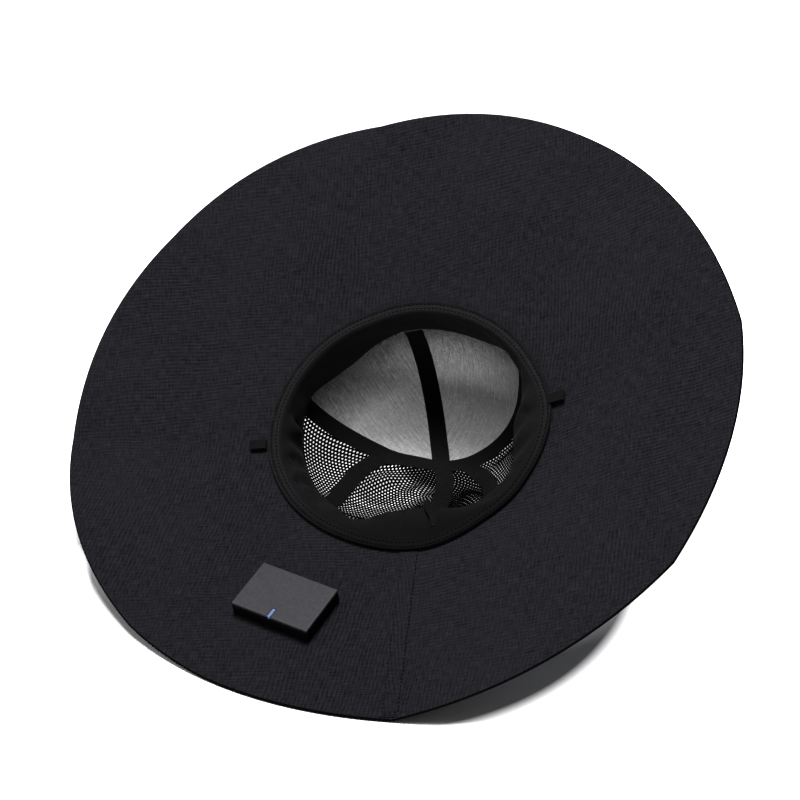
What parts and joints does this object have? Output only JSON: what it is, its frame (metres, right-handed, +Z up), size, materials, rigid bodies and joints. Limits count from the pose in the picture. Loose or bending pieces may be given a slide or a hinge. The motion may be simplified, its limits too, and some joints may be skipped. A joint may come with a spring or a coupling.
{
  "type": "solar hat",
  "caption": "Wide-brimmed cloth sun hat lying upside down, with net crown, sweatband, solar laminates on the brim and a small charger box.",
  "frame": {"origin": "on the floor, below the middle of the whole hat as it lies", "axes": "+Z up, +Y towards the front of the hat, +X the wearer's left; the hat lies upside down on its crown, tipped back and to the wearer's right"},
  "size_m": [0.4554, 0.4294, 0.2335],
  "materials": {
    "brim_cloth": "matte woven cloth",
    "band_cloth": "matte woven cloth",
    "tape_cloth": "matte woven tape",
    "sheer_cloth": "sheer woven cloth",
    "net_cloth": "knitted net",
    "solar_laminate": "satin laminate",
    "base_plastic": "matte",
    "lid_plastic": "satin",
    "light_plastic": "clear gloss"
  },
  "bodies": {
    "root": {"brim": "brim_cloth", "rear_seam_strip": "brim_cloth", "solar_panel_1": "solar_laminate", "solar_panel_2": "solar_laminate", "solar_panel_3": "solar_laminate", "solar_panel_4": "solar_laminate", "solar_panel_5": "solar_laminate", "solar_panel_6": "solar_laminate", "solar_panel_7": "solar_laminate", "solar_panel_8": "solar_laminate", "sweatband": "band_cloth", "crown_front_left": "sheer_cloth", "crown_front_right": "sheer_cloth", "crown_side_left": "net_cloth", "crown_side_right": "net_cloth", "crown_rear_left": "net_cloth", "crown_rear_right": "net_cloth", "tape_front_rear": "tape_cloth", "tape_left_front": "tape_cloth", "tape_right_front": "tape_cloth", "tape_right_rear": "tape_cloth", "tape_left_rear": "tape_cloth", "loop_left": "tape_cloth", "loop_right": "tape_cloth", "charger_base": "base_plastic", "charger_lid": "lid_plastic", "light_pipe": "light_plastic"}
  },
  "joints": []
}
